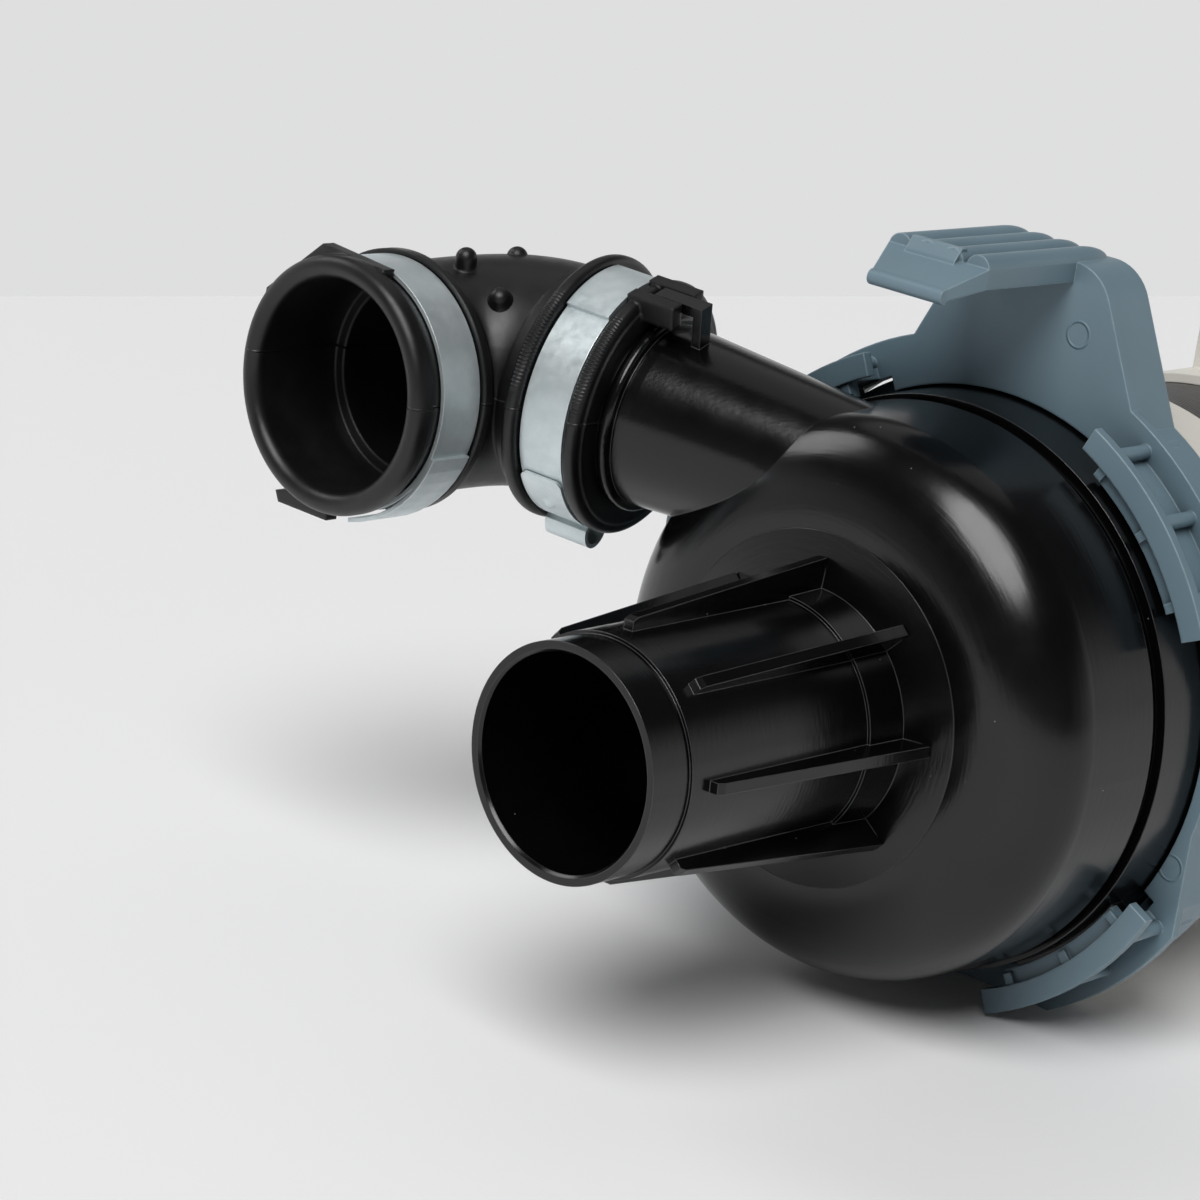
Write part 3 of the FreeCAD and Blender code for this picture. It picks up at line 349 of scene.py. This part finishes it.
def moulded(name, dark, light, edge_wear_and_highlight_colour, roughness, gloss_spread, grain, edge, marks=()):
    """Moulded plastic: mottled colour, edges lightened as wear and painted highlight, uneven
    gloss, fine grain, moulded marks.
    """
    material, tree, shader = new_material(name, light, roughness)
    normal = rounded_normal(tree, edge)
    colour = ramp(tree, noise(tree, scale=45, detail=5), dark, light)
    paint(tree, shader, colour, normal, edge_wear_and_highlight_colour)
    gloss(tree, shader, noise(tree, scale=160, detail=6, rough=0.6),
          roughness - gloss_spread, roughness + gloss_spread)
    layers = [(noise(tree, scale=60, detail=2), grain * WAVES_OVER_GRAIN),
              (noise(tree, scale=2600, detail=3), grain)]
    layers += [(mark(tree), depth) for mark, depth in marks]
    relief(tree, shader, layers, normal)
    return material, tree, shader


def streaks(tree):
    """Fine lines that run round the pump's axis, from the mould's polish and from handling."""
    x, y, z = split(tree, place_on(tree))
    turn = maths(tree, "MULTIPLY", maths(tree, "ARCTAN2", z, x), STREAK_TURN)
    squares = [maths(tree, "MULTIPLY", value, value) for value in (x, z)]
    reach = maths(tree, "SQRT", maths(tree, "ADD", *squares))
    join = tree.nodes.new("ShaderNodeCombineXYZ")
    for socket, value in zip(join.inputs, (turn, reach, y)):
        feed(tree, socket, value)
    return noise_at(tree, join.outputs["Vector"], scale=1400, detail=4)


def black_plastic():
    """Gloss black of the volute and the rear cover, with fine streaks and a little dust."""
    # Its edges lighten to grey as painted highlight and wear.
    material, tree, shader = moulded(
        "black_plastic", dark=(0.0010, 0.0010, 0.0012), light=(0.0022, 0.0022, 0.0025),
        edge_wear_and_highlight_colour=(0.085, 0.085, 0.090), roughness=0.20, gloss_spread=0.03,
        grain=4 * MICRON, edge=0.3 * MM, marks=[(streaks, 22 * MICRON)])
    specks = tree.nodes.new("ShaderNodeTexVoronoi")
    feed(tree, specks.inputs["Scale"], 260)
    feed(tree, specks.inputs["Vector"], place_on(tree))
    speck = maths(tree, "LESS_THAN", specks.outputs["Distance"], DUST_SIZE)
    patch = maths(tree, "GREATER_THAN", noise(tree, scale=70, detail=2), DUST_PATCHES)
    repaint(tree, shader, maths(tree, "MULTIPLY", speck, patch), (0.16, 0.16, 0.16))
    return material


def ejector_rings(tree):
    """Faint rings that the mould's ejector pins left on the bracket's face."""
    rings = []
    for centre in EJECTOR_PLACES:
        point = tuple(value * MM for value in centre)
        away = vector_maths(tree, "DISTANCE", place_on(tree), point)
        rings.append(near(tree, away, EJECTOR_R * MM, EJECTOR_LINE * MM))
    return maths(tree, "MAXIMUM", *rings)


def blue_grey_plastic():
    """Satin blue-grey of the motor bracket, with ejector marks, painted edge highlights with
    wear, and painted shade in its hollows.
    """
    material, tree, shader = moulded(
        "blue_grey_plastic", dark=(0.138, 0.208, 0.250), light=(0.162, 0.238, 0.284),
        edge_wear_and_highlight_colour=(0.34, 0.44, 0.49), roughness=0.40, gloss_spread=0.05,
        grain=6 * MICRON, edge=0.5 * MM, marks=[(ejector_rings, 200 * MICRON)])
    # Painted shade: the base colour darkens to a deep blue-grey where ambient occlusion finds
    # hollows, under the hook and between parts.
    painted_shade_occlusion = tree.nodes.new("ShaderNodeAmbientOcclusion")
    painted_shade_occlusion.samples = SHADER_SAMPLES
    feed(tree, painted_shade_occlusion.inputs["Distance"], PAINTED_SHADE_REACH)
    depth = remap(tree, painted_shade_occlusion.outputs["AO"], PAINTED_SHADE_FADE, low=1.0, high=0.0)
    repaint(tree, shader, depth, (0.050, 0.078, 0.096))
    return material


def seam(tree):
    """Parting line of the mould, level round the elbow."""
    return near(tree, split(tree, place_on(tree))[2], SEAM_Z * MM, SEAM_LINE * MM)


def clamp_axes():
    """Directions along the pipe clamp's axis, up from it and sideways."""
    along = Vector(CLAMP_WAY).normalized()
    up = Vector((0, 0, 1))
    up = (up - along * up.dot(along)).normalized()
    return along, up, along.cross(up)


def teeth(tree):
    """Fine moulded teeth on the rings beside the pipe clamp, on the side that faces forward."""
    centre = tuple(value * MM for value in CLAMP_CENTRE)
    from_centre = vector_maths(tree, "SUBTRACT", place_on(tree), centre)
    along, up, side = [vector_maths(tree, "DOT_PRODUCT", from_centre, way)
                       for way in clamp_axes()]
    turn = maths(tree, "ARCTAN2", side, up)
    wave = maths(tree, "SINE", maths(tree, "MULTIPLY", turn, TEETH))
    ring = near(tree, maths(tree, "ABSOLUTE", along), TEETH_OUT * MM, TEETH_WIDTH * MM)
    arc = near(tree, turn, *[math.radians(value) for value in TEETH_TURNS])
    return maths(tree, "MULTIPLY", wave, maths(tree, "MULTIPLY", ring, arc))


def rubber():
    """Black rubber with a dusty bloom, soft edges lightened as wear and painted highlight, and
    the mould's parting line.
    """
    material, tree, shader = new_material("rubber", (0.005, 0.005, 0.0053), roughness=0.4)
    normal = rounded_normal(tree, 0.9 * MM)
    bloom = noise(tree, scale=90, detail=6, rough=0.6)
    colour = ramp(tree, bloom, (0.0035, 0.0035, 0.0038), (0.0075, 0.0075, 0.008),
                  span=(0.35, 0.75))
    paint(tree, shader, colour, normal, edge_wear_and_highlight_colour=(0.014, 0.014, 0.015))
    gloss(tree, shader, noise(tree, scale=220, detail=6, rough=0.65), low=0.33, high=0.45)
    relief(tree, shader, [(noise(tree, scale=110, detail=3), 50 * MICRON),
                          (noise(tree, scale=1900, detail=4), 12 * MICRON),
                          (seam(tree), 250 * MICRON),
                          (teeth(tree), 220 * MICRON)], normal)
    return material


def zinc_steel():
    """Zinc plated strip: satin, a little blue, clouded and finely grained."""
    material, tree, shader = new_material("zinc_steel", (0.74, 0.81, 0.83), roughness=0.38,
                                          metallic=0.68)
    normal = rounded_normal(tree, 0.18 * MM)
    clouds = noise(tree, scale=130, detail=6, rough=0.6)
    colour = ramp(tree, clouds, (0.62, 0.70, 0.72), (0.80, 0.87, 0.88))
    # The edges lighten to near white as painted highlight and wear.
    paint(tree, shader, colour, normal, edge_wear_and_highlight_colour=(0.94, 0.96, 0.97))
    gloss(tree, shader, noise(tree, scale=500, detail=6, rough=0.6), low=0.31, high=0.45)
    relief(tree, shader, [(noise(tree, scale=700, detail=4), 12 * MICRON),
                          (noise(tree, scale=2400, detail=3), 8 * MICRON)], normal)
    return material


def machined(name, dark, light, roughness, gloss_spread=0.06):
    """Turned, ground or cast metal with a fine grain."""
    material, tree, shader = new_material(name, light, roughness, metallic=1.0)
    colour = ramp(tree, noise(tree, scale=300, detail=5, rough=0.6), dark, light)
    feed(tree, shader.inputs["Base Color"], colour)
    gloss(tree, shader, noise(tree, scale=900, detail=5, rough=0.6),
          roughness - gloss_spread, roughness + gloss_spread)
    relief(tree, shader, [(noise(tree, scale=1500, detail=4, rough=0.6), 10 * MICRON)],
           rounded_normal(tree, 0.15 * MM))
    return material


def laminated():
    """Stack of thin steel sheets, striped along the axis, with dark grooves between them."""
    material, tree, shader = new_material("lamination_steel", (0.2, 0.2, 0.21), roughness=0.45,
                                          metallic=1.0)
    wave = tree.nodes.new("ShaderNodeTexWave")
    wave.bands_direction = "Y"
    feed(tree, wave.inputs["Scale"], 2 * math.pi / (WAVE_TEXTURE_FACTOR * SHEET_PITCH))
    feed(tree, wave.inputs["Vector"], place_on(tree))
    sheets = wave.outputs["Fac"]
    mottle = noise(tree, scale=260, detail=3, stretch=(1, 3, 1))
    colour = ramp(tree, mottle, (0.19, 0.19, 0.195), (0.25, 0.245, 0.24))
    groove = maths(tree, "MULTIPLY_ADD", sheets, -SHEET_GROOVE, SHEET_GROOVE)
    feed(tree, shader.inputs["Base Color"], mix(tree, groove, colour, (0.07, 0.07, 0.072)))
    relief(tree, shader, [(sheets, 80 * MICRON)], rounded_normal(tree, 0.1 * MM))
    return material


def winding():
    """Enamelled copper wire."""
    material, tree, shader = new_material("copper_wire", (0.62, 0.24, 0.09), roughness=0.3,
                                          metallic=1.0)
    mottle = noise(tree, scale=900, detail=3, stretch=(1, 0.08, 1))
    colour = ramp(tree, mottle, (0.35, 0.11, 0.04), (0.68, 0.28, 0.11))
    feed(tree, shader.inputs["Base Color"], colour)
    wires = noise(tree, scale=1200, detail=2, stretch=(1, 0.06, 1))
    relief(tree, shader, [(wires, 300 * MICRON)], rounded_normal(tree, 0.4 * MM))
    return material


def make_materials():
    """One material for each slot of the record."""
    return {
        "black_plastic": black_plastic(),
        "blue_grey_plastic": blue_grey_plastic(),
        "rubber": rubber(),
        "zinc_steel": zinc_steel(),
        "impeller_plastic": moulded(
            "impeller_plastic", dark=(0.55, 0.54, 0.5), light=(0.62, 0.61, 0.57),
            edge_wear_and_highlight_colour=(0.72, 0.71, 0.68), roughness=0.4, gloss_spread=0.05,
            grain=8 * MICRON, edge=0.3 * MM)[0],
        "steel": machined(
            "steel", dark=(0.42, 0.43, 0.44), light=(0.56, 0.57, 0.58), roughness=0.28),
        "ball_steel": machined(
            "ball_steel", dark=(0.6, 0.61, 0.62), light=(0.66, 0.67, 0.68), roughness=0.12),
        "carbon": moulded(
            "carbon", dark=(0.012, 0.012, 0.013), light=(0.02, 0.02, 0.021),
            edge_wear_and_highlight_colour=(0.06, 0.06, 0.06), roughness=0.35, gloss_spread=0.05,
            grain=4 * MICRON, edge=0.2 * MM)[0],
        "ceramic": moulded(
            "ceramic", dark=(0.62, 0.6, 0.55), light=(0.68, 0.66, 0.61),
            edge_wear_and_highlight_colour=(0.78, 0.76, 0.72), roughness=0.2, gloss_spread=0.03,
            grain=2 * MICRON, edge=0.2 * MM)[0],
        "lamination_steel": laminated(),
        "copper_wire": winding(),
        "cream_plastic": moulded(
            "cream_plastic", dark=(0.66, 0.64, 0.58), light=(0.71, 0.69, 0.63),
            edge_wear_and_highlight_colour=(0.80, 0.78, 0.73), roughness=0.42, gloss_spread=0.05,
            grain=8 * MICRON, edge=0.4 * MM)[0],
        "brass_tabs": machined(
            "brass_tabs", dark=(0.55, 0.42, 0.2), light=(0.68, 0.54, 0.28), roughness=0.3),
        "cast_aluminium": machined(
            "cast_aluminium", dark=(0.45, 0.46, 0.47), light=(0.58, 0.59, 0.6),
            roughness=0.42),
    }


def dress_nodes(materials):
    """Gives each node the material of its slot."""
    for part in frame["record"]["subparts"]:
        piece = nodes[part["node"]]
        piece.data.materials.clear()
        piece.data.materials.append(materials[part["material_slot"]])


def strip_faces(work, rows, closed):
    """Faces between rows of points; closed rows run round."""
    for low, high in zip(rows, rows[1:]):
        for place in range(len(low) if closed else len(low) - 1):
            after = (place + 1) % len(low)
            work.faces.new((low[place], low[after], high[after], high[place]))


def smooth_mesh(name, work, material):
    """Mesh of the work's faces, smooth and in one material."""
    mesh = bpy.data.meshes.new(name)
    work.to_mesh(mesh)
    work.free()
    for face in mesh.polygons:
        face.use_smooth = True
    mesh.materials.append(material)
    return mesh


def lathe(profile, sides):
    """Faces spun from (radius, height) pairs in millimetres, closed at the last pair."""
    work = bmesh.new()
    turns = [2 * math.pi * side / sides for side in range(sides)]
    rows = []
    for radius, height in profile[:-1]:
        rows.append([work.verts.new((radius * MM * math.cos(turn), radius * MM * math.sin(turn),
                                     height * MM)) for turn in turns])
    tip = work.verts.new((0, 0, profile[-1][1] * MM))
    strip_faces(work, rows, closed=True)
    for side in range(sides):
        work.faces.new((rows[-1][side], rows[-1][(side + 1) % sides], tip))
    return work


def add_front_nub(materials):
    """Third rubber nub of the elbow, on its front shoulder, on a soft foot."""
    work = lathe(NUB_PROFILE, NUB_SIDES)
    nub = put("elbow_nub", smooth_mesh("elbow_nub", work, materials["rubber"]))
    nub.rotation_euler = Vector(NUB_WAY).to_track_quat("Z", "Y").to_euler()
    nub.location = Vector(NUB_PLACE) * MM
    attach(nub, "pump")


def tongue_point(turn, share):
    """Point of the tongue at a turn in degrees; share runs from -1 to 1 across the strip."""
    along, up, side = clamp_axes()
    arc = TONGUE_R * math.radians(turn - TONGUE_TURNS[0])
    cut = max(0.0, TONGUE_CORNER - arc) ** 2 / TONGUE_CORNER * TONGUE_CORNER_CUT
    across = (TONGUE_HALF - cut) * share
    down = TONGUE_R * math.radians(turn - TAB_TURN)
    lean = (across + TAB_LEAN * down) / TAB_HALF_ACROSS
    tab = TAB_RISE * math.exp(-lean ** 2 - (down / TAB_HALF_DOWN) ** 2)
    reach = (TONGUE_R + tab) * MM
    angle = math.radians(turn)
    place = Vector(CLAMP_CENTRE) * MM + along * (across * MM)
    return place + (up * (reach * math.cos(angle)) + side * (reach * math.sin(angle)))


def add_clamp_tongue(materials):
    """End of the clamp's strip that laps over the band, with its raised tab."""
    first, last = TONGUE_TURNS
    turns = [first + (last - first) * row / TONGUE_ROWS for row in range(TONGUE_ROWS + 1)]
    shares = [2 * column / TONGUE_COLUMNS - 1 for column in range(TONGUE_COLUMNS + 1)]
    work = bmesh.new()
    rows = [[work.verts.new(tongue_point(turn, share)) for share in shares] for turn in turns]
    strip_faces(work, rows, closed=False)
    tongue = put("clamp_tongue", smooth_mesh("clamp_tongue", work, materials["zinc_steel"]))
    wall = tongue.modifiers.new("wall", "SOLIDIFY")
    wall.thickness = TONGUE_WALL * MM
    wall.offset = 0
    edges = tongue.modifiers.new("edges", "EDGE_SPLIT")
    edges.split_angle = math.radians(TONGUE_EDGE_ANGLE)
    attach(tongue, "pump")


def floor_point(pixel, height):
    """Point of the floor that shows at a pixel of the photograph."""
    eye = -pixel_ray(ORIGIN_PX) * CAMERA_DISTANCE
    ray = pixel_ray(pixel)
    return eye + ray * ((height - eye.z) / ray.z)


def add_floor():
    """Pale floor under the object, with painted light making it brighter in front, whose far
    edge meets the backdrop.
    """
    material, tree, shader = new_material("floor", FLOOR_COLOUR, FLOOR_ROUGHNESS)
    depth = split(tree, place_on(tree))[1]
    # Painted light: the floor's colour brightens towards smaller y, in front of the object.
    forward = maths(tree, "MULTIPLY_ADD", depth, -1 / FLOOR_PAINTED_LIGHT_FADE, 0.5)
    colour = ramp(tree, forward, FLOOR_COLOUR, FLOOR_PAINTED_LIGHT_COLOUR, span=(0.0, 1.0))
    clouds = remap(tree, noise(tree, scale=3, detail=3), NOISE_MIDDLE, high=FLOOR_CLOUD_SHARE)
    feed(tree, shader.inputs["Base Color"], mix(tree, clouds, colour, FLOOR_CLOUD_COLOUR))
    height = cad_box[0][2] - FLOOR_GAP
    left, right = [floor_point(pixel, height) for pixel in FLOOR_END_PX]
    along = (right - left).normalized()
    out = along.cross(Vector((0, 0, 1)))
    if out.dot(left) > 0:
        out = -out
    corners = [left - along * FLOOR_REACH, right + along * FLOOR_REACH]
    corners += [corner + out * FLOOR_REACH for corner in reversed(corners)]
    mesh = bpy.data.meshes.new("floor")
    mesh.from_pydata([tuple(corner) for corner in corners], [], [(0, 1, 2, 3)])
    mesh.materials.append(material)
    floor = put("floor", mesh)


def add_lamp(name, azimuth, elevation, width, strength):
    """Wide soft lamp, far away, that shines from a direction."""
    lamp = bpy.data.lights.new(name, "SUN")
    lamp.energy = strength
    lamp.angle = math.radians(width)
    towards = direction(azimuth, elevation)
    holder = put(name, lamp)
    holder.rotation_euler = towards.to_track_quat("Z", "Y").to_euler()
    holder.location = towards * LAMP_AWAY


def add_world():
    """Pale backdrop low behind the object, dim in front of it and above."""
    world = bpy.data.worlds.new("world")
    world.use_nodes = True
    tree = world.node_tree
    way = place_on(tree, "Generated")
    behind = vector_maths(tree, "DOT_PRODUCT", way, direction(-CAMERA_AZIMUTH, 0))
    half = maths(tree, "MULTIPLY_ADD", behind, 0.5, 0.5)
    around = ramp(tree, half, DARK_SIDE_COLOUR, BACKDROP_COLOUR, span=BACKDROP_FADE)
    above = ramp(tree, split(tree, way)[2], (0, 0, 0), (1, 1, 1), span=CEILING_FADE)
    sky = mix(tree, above, around, CEILING_COLOUR)
    feed(tree, tree.nodes["Background"].inputs["Color"], sky)
    bpy.context.scene.world = world


def add_lights():
    """The lamps and the world."""
    for lamp in LAMPS:
        add_lamp(*lamp)
    add_world()


add_camera()
add_floor()
add_lights()
materials = make_materials()
dress_nodes(materials)
add_front_nub(materials)
add_clamp_tongue(materials)
bpy.context.scene.view_settings.view_transform = "Standard"
